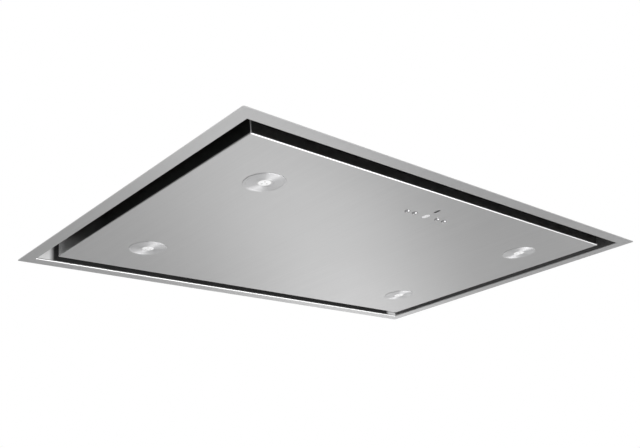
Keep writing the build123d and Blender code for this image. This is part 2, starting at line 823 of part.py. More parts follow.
board_centre_y = (control_row + receiver_row) / 2
housing_inner_length = board_length + 2 * housing_margin
housing_inner_width = board_width + 2 * housing_margin
window_back = back_level + window_flange
with BuildPart() as button_board:
    with BuildSketch(Plane((0, board_centre_y, board_level))):
        Rectangle(board_length, board_width)
    extrude(amount=board_thickness)
    with BuildSketch(Plane((0, 0, board_level))):
        for button_x in control_buttons:
            with Locations((button_x, control_row)):
                Circle(switch_diameter / 2)
    extrude(amount=-switch_height)
    with BuildSketch(Plane((0, control_row, board_level))):
        Rectangle(display_block_width, display_block_length)
    extrude(amount=-(board_level - window_back - fit))
    with BuildSketch(Plane((0, receiver_row - receiver_block / 2, board_level))):
        Rectangle(receiver_block, receiver_block)
    extrude(amount=-(board_level - window_back - fit))
    with BuildSketch(Plane((connector_offset, board_centre_y, board_level + board_thickness))):
        Rectangle(connector_length, connector_width)
    extrude(amount=connector_height)
save(button_board, "button_board")

with BuildPart() as control_housing:
    with BuildSketch(Plane((0, board_centre_y, back_level))):
        RectangleRounded(
            housing_inner_length + 2 * housing_wall,
            housing_inner_width + 2 * housing_wall,
            housing_corner_radius,
        )
    extrude(amount=housing_height)
    with BuildSketch(Plane((0, board_centre_y, back_level))):
        Rectangle(housing_inner_length - 2 * housing_ledge, housing_inner_width - 2 * housing_ledge)
    extrude(amount=board_level, mode=Mode.SUBTRACT)
    with BuildSketch(Plane((0, board_centre_y, board_level))):
        Rectangle(housing_inner_length, housing_inner_width)
    extrude(amount=housing_height - board_level - housing_wall, mode=Mode.SUBTRACT)
save(control_housing, "control_housing")

# ------------------------------------------------------------------------------- blower box

scroll_centre = Plane(origin=(0, 0, blower_level), x_dir=(0, 1, 0), z_dir=(1, 0, 0))
mouth_centre_y = (scroll_mouth_inner + scroll_end_radius) / 2
mouth_width = scroll_end_radius - scroll_mouth_inner
mouth_length = 2 * (scroll_half_length - scroll_sheet)

for side, side_x in (("left", -1), ("right", 1)):
    with BuildPart() as shell:
        with BuildSketch(Plane.XY.offset(roof_top)):
            with Locations((side_x * box_length / 4, 0)):
                Rectangle(box_length / 2, box_width)
            with Locations((side_x * (box_length / 4 - casing_sheet / 2), 0)):
                Rectangle(box_length / 2 - casing_sheet, box_inner_width, mode=Mode.SUBTRACT)
        extrude(amount=box_height)
        with BuildSketch(Plane.XY.offset(roof_top)):
            with Locations((side_x * (box_length / 2 + box_flange / 2), 0)):
                Rectangle(box_flange, box_width)
            for side_y in (-1, 1):
                with Locations((side_x * box_length / 4, side_y * (box_width / 2 + box_flange / 2))):
                    Rectangle(box_length / 2, box_flange)
        extrude(amount=casing_sheet)
        screw_holes(box_screw_planes)
    save(shell, f"blower_box_{side}")

# Screws that hold the outlet's flange on the box roof
outlet_screw_planes = []
for side_x in (-1, 1):
    for side_y in (-1, 1):
        outlet_screw_planes.append(
            Plane(
                (
                    side_x * (duct_diameter + outlet_flange) / 2,
                    mouth_centre_y + side_y * (duct_diameter + outlet_flange) / 2,
                    box_roof_top + outlet_plate,
                )
            )
        )

cap_length = box_length + 2 * casing_sheet + fit
cap_width = box_width + 2 * casing_sheet + fit
with BuildPart() as blower_box_roof:
    with BuildSketch(Plane.XY.offset(box_top)):
        Rectangle(cap_length, cap_width)
        with Locations((0, mouth_centre_y)):
            Rectangle(mouth_length, mouth_width, mode=Mode.SUBTRACT)
    extrude(amount=casing_sheet)
    with BuildSketch(Plane.XY.offset(box_top)):
        Rectangle(cap_length, cap_width)
        Rectangle(box_length + fit, box_width + fit, mode=Mode.SUBTRACT)
    extrude(amount=-box_flange)
    screw_holes(outlet_screw_planes)
save(blower_box_roof, "blower_box_roof")

# ------------------------------------------------------------------------------ blower scroll

spiral_start = scroll_tongue_angle
spiral_span = 360.0 - scroll_tongue_angle


def scroll_point(angle, offset):
    """Point of the spiral wrap at an angle in degrees from +Y, pushed out by an offset."""
    share = (angle - spiral_start) / spiral_span
    radius = scroll_tongue_radius + share * (scroll_end_radius - scroll_tongue_radius) + offset
    return (radius * math.cos(math.radians(angle)), radius * math.sin(math.radians(angle)))


def scroll_outline(offset):
    """Closed outline of the air space: spiral, vertical outer wall, mouth, inner wall."""
    steps = int(round(spiral_span / scroll_step_angle))
    angles = [spiral_start + spiral_span * i / steps for i in range(steps + 1)]
    mouth_top = box_top - blower_level
    Spline(*[scroll_point(angle, offset) for angle in angles])
    end = scroll_point(angles[-1], offset)
    start = scroll_point(angles[0], offset)
    Polyline(
        end,
        (scroll_end_radius + offset, mouth_top),
        (scroll_mouth_inner - offset, mouth_top),
        (scroll_mouth_inner - offset, start[1]),
        start,
    )


for side, side_x in (("left", -1), ("right", 1)):
    with BuildPart() as scroll:
        with BuildSketch(scroll_centre):
            with BuildLine():
                scroll_outline(scroll_sheet)
            make_face()
        extrude(amount=side_x * scroll_half_length)
        with BuildSketch(scroll_centre):
            with BuildLine():
                scroll_outline(0.0)
            make_face()
        extrude(amount=side_x * (scroll_half_length - scroll_sheet), mode=Mode.SUBTRACT)
        with BuildSketch(scroll_centre.offset(side_x * (scroll_half_length - scroll_sheet))):
            Circle(inlet_radius + scroll_sheet)
        extrude(amount=side_x * (scroll_sheet + inlet_lip))
        with BuildSketch(scroll_centre.offset(side_x * (scroll_half_length - 2 * scroll_sheet))):
            Circle(inlet_radius)
        extrude(amount=side_x * (2 * scroll_sheet + inlet_lip), mode=Mode.SUBTRACT)
        with BuildSketch(Plane.XY.offset(box_top)):
            with Locations((side_x * (mouth_length / 2 + scroll_flange) / 2, mouth_centre_y)):
                Rectangle(mouth_length / 2 + scroll_flange, mouth_width + 2 * scroll_flange)
            with Locations((side_x * mouth_length / 4, mouth_centre_y)):
                Rectangle(mouth_length / 2, mouth_width, mode=Mode.SUBTRACT)
        extrude(amount=-scroll_sheet)
    save(scroll, f"scroll_{side}")

# ----------------------------------------------------------------------- impeller and motor

blade_inner = impeller_diameter / 2 - blade_depth
blade_middle = impeller_diameter / 2 - blade_depth / 2
blade_half_chord = blade_depth / 2 - blade_thickness
with BuildSketch() as blade_section:
    with BuildLine() as camber_line:
        ThreePointArc(
            (-blade_half_chord, 0), (0, -blade_camber), (blade_half_chord, blade_tip_rise)
        )
    trace(camber_line.line, line_width=blade_thickness)

with BuildPart() as impeller:
    with BuildSketch(scroll_centre):
        with PolarLocations(blade_middle, blade_count):
            add(blade_section.sketch)
    extrude(amount=impeller_length / 2, both=True)
    with BuildSketch(scroll_centre):
        Circle(impeller_diameter / 2)
    extrude(amount=impeller_disc / 2, both=True)
    for side_x in (-1, 1):
        with BuildSketch(scroll_centre.offset(side_x * impeller_length / 2)):
            Circle(impeller_diameter / 2)
            Circle(blade_inner, mode=Mode.SUBTRACT)
        extrude(amount=-side_x * impeller_ring)
    with BuildSketch(scroll_centre):
        Circle(hub_diameter / 2)
    extrude(amount=hub_length)
    with BuildSketch(scroll_centre.offset(-impeller_disc)):
        Circle(shaft_diameter / 2 + running_clearance)
    extrude(amount=hub_length + 2 * impeller_disc, mode=Mode.SUBTRACT)
save(impeller, "impeller")

motor_inner = -(impeller_disc / 2 + motor_gap)
motor_outer = motor_inner - motor_length
with BuildPart() as motor_shaft:
    with BuildSketch(scroll_centre.offset(motor_outer - motor_gap)):
        Circle(shaft_diameter / 2)
    extrude(amount=-motor_outer + motor_gap + hub_length)
save(motor_shaft, "motor_shaft")

with BuildPart() as motor:
    with BuildSketch(scroll_centre.offset(motor_inner)):
        Circle(motor_diameter / 2)
    extrude(amount=-motor_length)
    fillet(motor.edges().filter_by(GeomType.CIRCLE), motor_gap / 2)
    with BuildSketch(scroll_centre.offset(motor_inner)):
        Circle(shaft_diameter / 2 + running_clearance)
    extrude(amount=-motor_length, mode=Mode.SUBTRACT)
save(motor, "motor")

bracket_inner_face = -(scroll_half_length + inlet_lip)
with BuildPart() as motor_bracket:
    with BuildSketch(scroll_centre.offset(bracket_inner_face)):
        Circle(bracket_hub_diameter / 2)
        with PolarLocations(bracket_arm_length / 2, 3):
            Rectangle(bracket_arm_length, bracket_arm_width)
        Circle(shaft_diameter, mode=Mode.SUBTRACT)
    extrude(amount=-bracket_thickness)
    with BuildSketch(scroll_centre.offset(bracket_inner_face)):
        Circle(bracket_hub_diameter / 2)
        Circle(shaft_diameter, mode=Mode.SUBTRACT)
    extrude(amount=motor_outer - bracket_inner_face)
    with BuildSketch(scroll_centre.offset(bracket_inner_face)):
        with PolarLocations(bracket_arm_length - bracket_arm_width / 4, 3):
            Rectangle(bracket_arm_width / 2, bracket_arm_width)
    extrude(amount=inlet_lip)
save(motor_bracket, "motor_bracket")

# ------------------------------------------------------------------ duct outlet and its flaps

outlet_base = box_roof_top
spigot_base = outlet_base + outlet_plate + outlet_transition
spigot_end = spigot_base + outlet_spigot_height
spigot_bore_radius = duct_diameter / 2 - spigot_wall
flap_level = spigot_base + spigot_wall + flap_thickness
outlet_plane = Plane((0, mouth_centre_y, 0))
flap_pin_plane = Plane(origin=(0, mouth_centre_y, flap_level), x_dir=(0, 1, 0), z_dir=(1, 0, 0))

with BuildPart() as outlet_collar:
    with BuildSketch(outlet_plane.offset(outlet_base)):
        Rectangle(duct_diameter + 2 * outlet_flange, duct_diameter + 2 * outlet_flange)
    extrude(amount=outlet_plate)
    with BuildSketch(outlet_plane.offset(outlet_base)):
        Rectangle(mouth_length + 2 * spigot_wall, mouth_width + 2 * spigot_wall)
    with BuildSketch(outlet_plane.offset(spigot_base)):
        Circle(duct_diameter / 2)
    loft()
    with BuildSketch(outlet_plane.offset(spigot_base)):
        Circle(duct_diameter / 2)
    extrude(amount=outlet_spigot_height)
    with BuildSketch(outlet_plane.offset(outlet_base)):
        Rectangle(mouth_length, mouth_width)
    with BuildSketch(outlet_plane.offset(spigot_base)):
        Circle(spigot_bore_radius - flap_ledge)
    loft(mode=Mode.SUBTRACT)
    with BuildSketch(outlet_plane.offset(spigot_base)):
        Circle(spigot_bore_radius - flap_ledge)
    extrude(amount=outlet_spigot_height, mode=Mode.SUBTRACT)
    ledge_top = flap_level - flap_thickness / 2 - fit
    with BuildSketch(outlet_plane.offset(ledge_top)):
        Circle(spigot_bore_radius)
    extrude(amount=spigot_end - ledge_top, mode=Mode.SUBTRACT)
    with BuildSketch(flap_pin_plane):
        Circle(flap_pin_diameter / 2 + running_clearance)
    extrude(amount=duct_diameter, both=True, mode=Mode.SUBTRACT)
    screw_holes(outlet_screw_planes)
save(outlet_collar, "outlet_collar")

with BuildPart() as damper_pin:
    with BuildSketch(flap_pin_plane):
        Circle(flap_pin_diameter / 2)
    extrude(amount=duct_diameter / 2 - fit, both=True)
save(damper_pin, "damper_pin")

flap_radius = spigot_bore_radius - flap_clearance
flap_knuckle_pitch = flap_knuckle_length + flap_knuckle_gap
flap_plate_start = flap_knuckle_diameter / 2 + flap_knuckle_relief
flaps = {"damper_flap_back": (1, (-1.5, 0.5)), "damper_flap_front": (-1, (-0.5, 1.5))}
for name, (side_y, knuckle_places) in flaps.items():
    with BuildPart() as flap:
        with BuildSketch(outlet_plane.offset(flap_level - flap_thickness / 2)):
            Circle(flap_radius)
            with Locations((0, -side_y * (flap_radius - flap_plate_start))):
                Rectangle(2 * flap_radius, 2 * flap_radius, mode=Mode.SUBTRACT)
            for place in knuckle_places:
                with Locations((place * flap_knuckle_pitch, side_y * flap_plate_start / 2)):
                    Rectangle(flap_knuckle_length, flap_plate_start)
        extrude(amount=flap_thickness)
        for place in knuckle_places:
            knuckle_plane = flap_pin_plane.offset(place * flap_knuckle_pitch)
            with BuildSketch(knuckle_plane):
                Circle(flap_knuckle_diameter / 2)
            extrude(amount=flap_knuckle_length / 2, both=True)
        with BuildSketch(flap_pin_plane):
            Circle(flap_pin_diameter / 2 + running_clearance)
        extrude(amount=duct_diameter / 2, both=True, mode=Mode.SUBTRACT)
    save(flap, name)

with BuildPart() as blower_screws:
    screws(outlet_screw_planes)
save(blower_screws, "blower_screws")

# ------------------------------------------------------------------------------ electronics

electronics_plane = Plane((electronics_offset, 0, roof_top))
electronics_middle = roof_top + electronics_height / 2
gland_plane = Plane(
    origin=(electronics_offset, electronics_width / 2, electronics_middle), x_dir=(1, 0, 0), z_dir=(0, 1, 0)
)
with BuildPart() as electronics_box:
    with BuildSketch(electronics_plane):
        Rectangle(electronics_length, electronics_width)
    extrude(amount=electronics_height)
    with BuildSketch(electronics_plane.offset(casing_sheet)):
        Rectangle(electronics_length - 2 * casing_sheet, electronics_width - 2 * casing_sheet)
    extrude(amount=electronics_height - casing_sheet, mode=Mode.SUBTRACT)
    with BuildSketch(gland_plane):
        Circle(gland_diameter / 2)
    extrude(amount=-2 * casing_sheet, mode=Mode.SUBTRACT)
save(electronics_box, "electronics_box")

lid_length = electronics_length + 2 * casing_sheet + fit
lid_width = electronics_width + 2 * casing_sheet + fit
with BuildPart() as electronics_lid:
    with BuildSketch(electronics_plane.offset(electronics_height)):
        Rectangle(lid_length, lid_width)
    extrude(amount=casing_sheet)
    with BuildSketch(electronics_plane.offset(electronics_height)):
        Rectangle(lid_length, lid_width)
        Rectangle(electronics_length + fit, electronics_width + fit, mode=Mode.SUBTRACT)
    extrude(amount=-box_flange)
save(electronics_lid, "electronics_lid")

# Board on four standoffs: transformer and capacitor at one end, terminal block at the gland's end
power_board_length = electronics_length - 2 * power_board_margin_x
power_board_width = electronics_width - 2 * power_board_margin_y
transformer_place = (
    -(power_board_length / 2 - power_part_inset - transformer_length / 2),
    -(power_board_width / 2 - power_part_inset - transformer_width / 2),
)
capacitor_place = (
    power_board_length / 2 - power_part_inset - capacitor_diameter / 2,
    -(power_board_width / 2 - power_part_inset - capacitor_diameter / 2),
)
terminal_place = (0, power_board_width / 2 - power_part_inset - terminal_width / 2)
with BuildPart() as power_board:
    board_plane = electronics_plane.offset(casing_sheet)
    with BuildSketch(board_plane):
        with GridLocations(
            power_board_length - 2 * standoff_height, power_board_width - 2 * standoff_height, 2, 2
        ):
            Circle(standoff_height / 2)
    extrude(amount=standoff_height)
    with BuildSketch(board_plane.offset(standoff_height)):
        Rectangle(power_board_length, power_board_width)
    extrude(amount=board_thickness)
    with BuildSketch(board_plane.offset(standoff_height + board_thickness)):
        with Locations(transformer_place):
            Rectangle(transformer_length, transformer_width)
        with Locations(capacitor_place):
            Circle(capacitor_diameter / 2)
        with Locations(terminal_place):
            Rectangle(terminal_length, terminal_width)
    extrude(amount=power_part_height)
save(power_board, "power_board")

with BuildPart() as cable_gland:
    with BuildSketch(gland_plane):
        RegularPolygon(gland_diameter / 2 + gland_nut_rim, 6)
    extrude(amount=gland_nut_height)
    with BuildSketch(gland_plane.offset(gland_nut_height)):
        Circle(gland_diameter / 2)
    extrude(amount=gland_body_length - gland_nut_height, taper=gland_taper)
    with BuildSketch(gland_plane):
        Circle(gland_diameter / 2 - running_clearance)
    extrude(amount=-(casing_sheet + gland_nut_height))
    with BuildSketch(gland_plane.offset(gland_body_length)):
        Circle(gland_bore / 2)
    extrude(amount=-(gland_body_length + casing_sheet + gland_nut_height), mode=Mode.SUBTRACT)
save(cable_gland, "cable_gland")
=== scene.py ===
"""Ceiling range hood, seen from below: finishes for its fixed parts, and its finer pieces."""

import math

import bpy
import numpy as np
from mathutils import Matrix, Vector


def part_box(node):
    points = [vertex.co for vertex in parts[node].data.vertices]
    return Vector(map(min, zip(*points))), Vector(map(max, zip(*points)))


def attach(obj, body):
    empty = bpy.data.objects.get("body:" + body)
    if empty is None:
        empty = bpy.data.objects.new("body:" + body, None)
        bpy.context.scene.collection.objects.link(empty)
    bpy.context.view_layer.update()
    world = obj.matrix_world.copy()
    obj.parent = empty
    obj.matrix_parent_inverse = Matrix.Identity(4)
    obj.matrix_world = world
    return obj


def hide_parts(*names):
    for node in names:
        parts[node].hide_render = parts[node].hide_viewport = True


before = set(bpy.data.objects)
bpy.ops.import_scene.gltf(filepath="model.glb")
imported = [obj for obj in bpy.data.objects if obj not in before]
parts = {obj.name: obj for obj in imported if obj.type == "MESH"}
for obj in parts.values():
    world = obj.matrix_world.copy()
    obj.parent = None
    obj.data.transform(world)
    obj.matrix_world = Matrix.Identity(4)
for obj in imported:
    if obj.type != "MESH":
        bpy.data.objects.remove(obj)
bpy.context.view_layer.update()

# ---------------------------------------------------------------------------------------
# Trim frame and hinged panel. Both are 1 mm stainless sheet, brushed along the hood's
# short side, laser cut and folded. The frame covers the cut-out's edge and the panel
# closes flush with it, with the air slot between them.

sheet = 0.001
flange_width = 0.022
panel_x, panel_y = (round(reach, 4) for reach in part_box("perimeter_panel")[1][:2])
slot_x, slot_y = (round(reach - flange_width, 4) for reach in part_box("trim_frame")[1][:2])

# Sizes of the brushing, and the tones and roughness of face, folds and inside. The folds' light
# tone is a painted highlight.
brush_line = 0.00035
brush_run = 0.09
face_dark = (0.585, 0.585, 0.587)
face_light = (0.63, 0.63, 0.63)
fold_highlight_tone = 0.93
fold_roughness = 0.30
inside_roughness = 0.28

# The look changes from the face's to the inside's between these levels, through the sheet.
face_level = 0.0009
inside_level = 0.0014

# A fold's polish and painted highlight begin 1 mm before its edge, grow over 0.5 mm and end over
# 0.4 mm.
polish_and_highlight_start = 0.0010
polish_and_highlight_grown = 0.0005
soft_edge = 0.0004


def node(tree, kind, inputs=(), **settings):
    """Add a node, set its options, and fill its inputs with plain values or nodes' outputs."""
    made = tree.nodes.new(kind)
    for key, value in settings.items():
        setattr(made, key, value)
    for key, value in dict(inputs).items():
        if isinstance(value, bpy.types.NodeSocket):
            tree.links.new(value, made.inputs[key])
        else:
            made.inputs[key].default_value = value
    return made


def calculate(tree, operation, *values):
    """One step of arithmetic on plain values or nodes' outputs."""
    return node(tree, "ShaderNodeMath", dict(enumerate(values)), operation=operation).outputs[0]


def finish(name, metal, sockets=()):
    """A material with one principled surface, whose constant sockets are set here."""
    made = bpy.data.materials.new(name)
    made.use_nodes = True
    tree = made.node_tree
    tree.nodes.clear()
    skin = node(tree, "ShaderNodeBsdfPrincipled", {"Metallic": metal})
    for key, value in dict(sockets).items():
        skin.inputs[key].default_value = value
    node(tree, "ShaderNodeOutputMaterial", {"Surface": skin.outputs[0]})
    return made, tree, skin


def noise(tree, sizes, detail=3.0, roughness=0.55, shift=(0.0, 0.0, 0.0)):
    """Noise whose grains have these sizes in metres along X, Y and Z of the object."""
    place = node(tree, "ShaderNodeTexCoord").outputs["Object"]
    scale = [1.0 / size for size in sizes]
    placed = node(tree, "ShaderNodeMapping", {"Vector": place, "Scale": scale, "Location": shift})
    grain = node(
        tree,
        "ShaderNodeTexNoise",
        {"Vector": placed.outputs[0], "Scale": 1.0, "Detail": detail, "Roughness": roughness},
    )
    return grain.outputs["Fac"]


def spread(tree, value, low, high, start=0.25, end=0.75):
    """Map a value's range start to end onto low to high."""
    made = node(
        tree,
        "ShaderNodeMapRange",
        {"Value": value, "From Min": start, "From Max": end, "To Min": low, "To Max": high},
    )
    return made.outputs[0]


def shade(tree, value, dark, light):
    """Mix two colours by a value from 0 to 1. Each is a colour, a grey or a node's output."""
    mixed = node(tree, "ShaderNodeMix", {"Factor": value}, data_type="RGBA")
    for socket, colour in ((mixed.inputs["A"], dark), (mixed.inputs["B"], light)):
        if isinstance(colour, bpy.types.NodeSocket):
            tree.links.new(colour, socket)
        else:
            socket.default_value = (*np.broadcast_to(colour, 3).tolist(), 1.0)
    return mixed.outputs["Result"]


def mean(tree, first, second, share=0.5):
    """The sum of two values, the second weighted by share and the first by the rest."""
    mixed = node(tree, "ShaderNodeMix", {"Factor": share, "A": first, "B": second})
    return mixed.outputs["Result"]


def tint(tree, skin, value, dark, light, start=0.25, end=0.75):
    """Colour a finish from dark to light as a value goes from start to end."""
    colour = shade(tree, spread(tree, value, 0.0, 1.0, start, end), dark, light)
    tree.links.new(colour, skin.inputs["Base Color"])


def roughen(tree, skin, value, low, high, start=0.25, end=0.75):
    """Take a finish's roughness from low to high as a value goes from start to end."""
    tree.links.new(spread(tree, value, low, high, start, end), skin.inputs["Roughness"])


def relief(tree, skin, height, depth):
    """Bump the surface by a height from 0 to 1, depth metres deep."""
    bumped = node(tree, "ShaderNodeBump", {"Height": height, "Distance": depth, "Strength": 1.0})
    tree.links.new(bumped.outputs[0], skin.inputs["Normal"])


def dress(material, *names):
    """Give CAD parts a finish in every material slot."""
    for name in names:
        mesh = parts[name].data
        if not mesh.materials:
            mesh.materials.append(material)
        for index in range(len(mesh.materials)):
            mesh.materials[index] = material


def world_direction(tree, vector):
    """Turn a direction of the object into one of the world, so that it swings with the piece."""
    turned = node(
        tree,
        "ShaderNodeVectorTransform",
        {"Vector": vector},
        vector_type="VECTOR",
        convert_from="OBJECT",
        convert_to="WORLD",
    )
    return turned.outputs[0]


def brushed(name, fold_edge, fold_width, fold_end):
    """Sheet brushed along Y on its face, polished on one fold with a painted highlight, and
    smoother inside the air slot, whose colour the callers darken as painted shade.

    The polished fold runs along X and its light tone is a painted highlight. Its edge is at
    fold_edge in y, the polish and highlight reach fold_width from there towards +Y, and they
    end at fold_end either side of the middle.
    """
    made, tree, skin = finish(name, 1.0, {"Anisotropic": 0.75})
    lines = noise(tree, (brush_line, brush_run, 0.004), detail=4.0, roughness=0.7)
    streaks = noise(tree, (0.006, 0.45, 0.02), detail=2.0, shift=(3.0, 1.0, 7.0))
    patches = noise(tree, (0.24, 0.31, 0.3), detail=2.0, shift=(5.0, 2.0, 1.0))
    tone = mean(tree, mean(tree, lines, streaks, 0.45), patches, 0.35)
    face = shade(tree, spread(tree, tone, 0.0, 1.0, 0.35, 0.65), face_dark, face_light)
    coordinates = node(tree, "ShaderNodeTexCoord").outputs["Object"]
    x, y, z = node(tree, "ShaderNodeSeparateXYZ", {0: coordinates}).outputs
    half_x = calculate(tree, "ABSOLUTE", x)
    fold_stop = fold_edge + fold_width
    fold = calculate(
        tree,
        "MULTIPLY",
        spread(tree, y, 0.0, 1.0, fold_edge - polish_and_highlight_start, fold_edge - polish_and_highlight_grown),
        spread(tree, y, 1.0, 0.0, fold_stop - soft_edge, fold_stop),
    )
    within = spread(tree, half_x, 1.0, 0.0, fold_end - soft_edge, fold_end)
    fold = calculate(tree, "MULTIPLY", fold, within)
    depth = spread(tree, z, 0.0, 1.0, face_level, inside_level)
    # The fold's light tone is a painted highlight; its lower roughness is real polish.
    outside = shade(tree, fold, face, fold_highlight_tone)
    ground = spread(tree, mean(tree, lines, patches, 0.5), 0.43, 0.50, 0.3, 0.7)
    ground = mean(tree, ground, fold_roughness, fold)
    tree.links.new(mean(tree, ground, inside_roughness, depth), skin.inputs["Roughness"])
    relief(tree, skin, lines, 0.000004)
    across_lines = node(tree, "ShaderNodeCombineXYZ", {"X": 1.0, "Y": 0.03})
    tree.links.new(world_direction(tree, across_lines.outputs[0]), skin.inputs["Tangent"])
    return made, tree, skin, x, y, half_x, depth, outside


# The panel's skirts are steel darkened as painted shade inside the air slot. The front one and
# the back end of the left one are painted lighter, as painted light. A pale, non-metallic
# painted highlight runs up the seam at each corner.
skirt_shade_tone = 0.15
skirt_reflection_tone = 0.50
left_skirt_reflection_fade = (0.10, 0.19)
corner_highlight_tone = 0.62
seam_soft = 0.0002
panel_polish_and_highlight = 0.0020
seam_x, seam_y = panel_x - sheet, panel_y - sheet
panel_steel, tree, skin, x, y, half_x, depth, outside = brushed(
    "panel_steel", -panel_y, panel_polish_and_highlight, panel_x + sheet
)
half_y = calculate(tree, "ABSOLUTE", y)
on_front = spread(tree, y, 0.0, 1.0, sheet - panel_y, 0.5 * sheet - panel_y)
on_left = spread(tree, x, 0.0, 1.0, sheet - panel_x, 0.5 * sheet - panel_x)
left_reflection = calculate(tree, "MULTIPLY", on_left, spread(tree, y, 0.0, 1.0, *left_skirt_reflection_fade))
# Dark skirt tone is painted shade; the lighter front skirt and left skirt's back end are painted
# light.
skirt = shade(tree, on_front, skirt_shade_tone, skirt_reflection_tone)
skirt = shade(tree, left_reflection, skirt, skirt_reflection_tone)
# A pale non-metallic line up each corner seam: a painted highlight.
corner_highlight = calculate(
    tree,
    "MULTIPLY",
    spread(tree, half_x, 0.0, 1.0, seam_x - seam_soft, seam_x + seam_soft),
    spread(tree, half_y, 0.0, 1.0, seam_y - seam_soft, seam_y + seam_soft),
)
corner_highlight = calculate(tree, "MULTIPLY", corner_highlight, depth)
inside = shade(tree, corner_highlight, skirt, corner_highlight_tone)
tree.links.new(shade(tree, depth, outside, inside), skin.inputs["Base Color"])
tree.links.new(calculate(tree, "SUBTRACT", 1.0, corner_highlight), skin.inputs["Metallic"])
dress(panel_steel, "perimeter_panel")

# The frame's collar is darkened as painted shade inside the air slot, most on its back wall, but
# for the two ends of its back wall, past the panel's length, which are painted pale as painted
# light.
collar_shade_tone = 0.12
back_wall_shade_tone = 0.045
lit_end_tone = 0.90
lit_end_fade = (panel_x - 0.005, panel_x + 0.004)
frame_polish_and_highlight = 0.0024
frame_steel, tree, skin, _, y, half_x, depth, outside = brushed(
    "frame_steel", slot_y, frame_polish_and_highlight, slot_x + soft_edge
)
at_back = spread(tree, y, 0.0, 1.0, slot_y - sheet, slot_y - 0.5 * sheet)
past_panel = spread(tree, half_x, 0.0, 1.0, *lit_end_fade)
# pale marks the ends of the back wall that are painted pale as painted light.
pale = calculate(tree, "MULTIPLY", at_back, past_panel)
# Dark collar and darker back wall are painted shade; the pale ends are painted light.
collar = shade(tree, at_back, collar_shade_tone, back_wall_shade_tone)
collar = shade(tree, pale, collar, lit_end_tone)
tree.links.new(shade(tree, depth, outside, collar), skin.inputs["Base Color"])
tree.links.new(calculate(tree, "SUBTRACT", 1.0, depth), skin.inputs["Metallic"])
dress(frame_steel, "trim_frame")

# ---------------------------------------------------------------------------------------
# Casing, blower box, electronics box, hanging brackets and the panel's hidden ironwork:
# zinc-coated sheet steel, folded and screwed, with the faint spangle of the zinc bath.

spangle_scale = 70.0
zinc_sheet, tree, skin = finish("zinc_sheet", 1.0)
place = node(tree, "ShaderNodeTexCoord").outputs["Object"]
spangle = node(
    tree, "ShaderNodeTexVoronoi", {"Vector": place, "Scale": spangle_scale, "Randomness": 1.0}
)
crystal = node(tree, "ShaderNodeSeparateColor", {"Color": spangle.outputs["Color"]}).outputs[0]
smear = noise(tree, (0.05, 0.05, 0.05), detail=4.0)
scratch = noise(tree, (0.012, 0.0009, 0.012), detail=3.0, shift=(1.0, 4.0, 2.0))
zinc_tone = mean(tree, mean(tree, crystal, smear, 0.6), scratch, 0.3)
tint(tree, skin, zinc_tone, (0.34, 0.35, 0.36), (0.50, 0.51, 0.52), 0.2, 0.8)
roughen(tree, skin, mean(tree, crystal, smear, 0.5), 0.30, 0.46, 0.2, 0.8)
relief(tree, skin, mean(tree, smear, scratch, 0.4), 0.00006)
dress(
    zinc_sheet,
    *("casing_front", "casing_back", "casing_left", "casing_right", "casing_roof"),
    *("hanging_brackets", "blower_box_left", "blower_box_right", "blower_box_roof"),
    *("electronics_box", "electronics_lid", "panel_stiffener_left", "panel_stiffener_right"),
    *("hinge_arms", "hinge_brackets", "catch_strikes", "motor_bracket"),
)

# ---------------------------------------------------------------------------------------
# Screws, pins and the motor shaft: turned steel with a thin yellowish zinc plating. The
# screws have pan heads with a cross recess and hold casing, brackets, tray and outlet.

screw_steel, tree, skin = finish("screw_steel", 1.0)
turning = noise(tree, (0.0012, 0.0012, 0.0003), detail=3.0)
handling = noise(tree, (0.004, 0.004, 0.004), detail=3.0, shift=(2.0, 2.0, 5.0))
tint(tree, skin, handling, (0.56, 0.55, 0.51), (0.72, 0.71, 0.67))
roughen(tree, skin, turning, 0.22, 0.40)
relief(tree, skin, turning, 0.00003)
dress(screw_steel, "hinge_pins", "damper_pin", "motor_shaft")


def lathe_faces(rings, segments, closed=False):
    """Quads between neighbouring rings of a lathed surface, joined last to first if closed."""
    ring = np.arange(rings if closed else rings - 1)[:, None] * segments
    after = (ring + segments) % (rings * segments)
    along = np.arange(segments)[None, :]
    next_along = (along + 1) % segments
    quads = np.stack((ring + along, ring + next_along, after + next_along, after + along), -1)
    return quads.reshape(-1, 4)


def piece(name, points, faces, material, body, replaced, ends=()):
    """A mesh object at the origin that rides on a body in place of CAD nodes.

    Edges over 30 degrees stay sharp.
    """
    mesh = bpy.data.meshes.new(name)
    mesh.from_pydata(
        points.reshape(-1, 3).tolist(), [], faces.tolist() + [list(end) for end in ends]
    )
    mesh.materials.append(material)
    mesh.shade_smooth()
    mesh.set_sharp_from_angle(angle=math.radians(30.0))
    made = bpy.data.objects.new(name, mesh)
    bpy.context.scene.collection.objects.link(made)
    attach(made, body)
    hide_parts(*replaced)


head_radius = 0.004
head_height = 0.0024
head_rim = 0.0009
shank_radius = 0.002
recess_reach = 0.0021
recess_half_width = 0.00055
recess_depth = 0.0013
recess_slope = 0.0003
dome_rings = 22
screw_segments = 48
screw_turn = 2.4


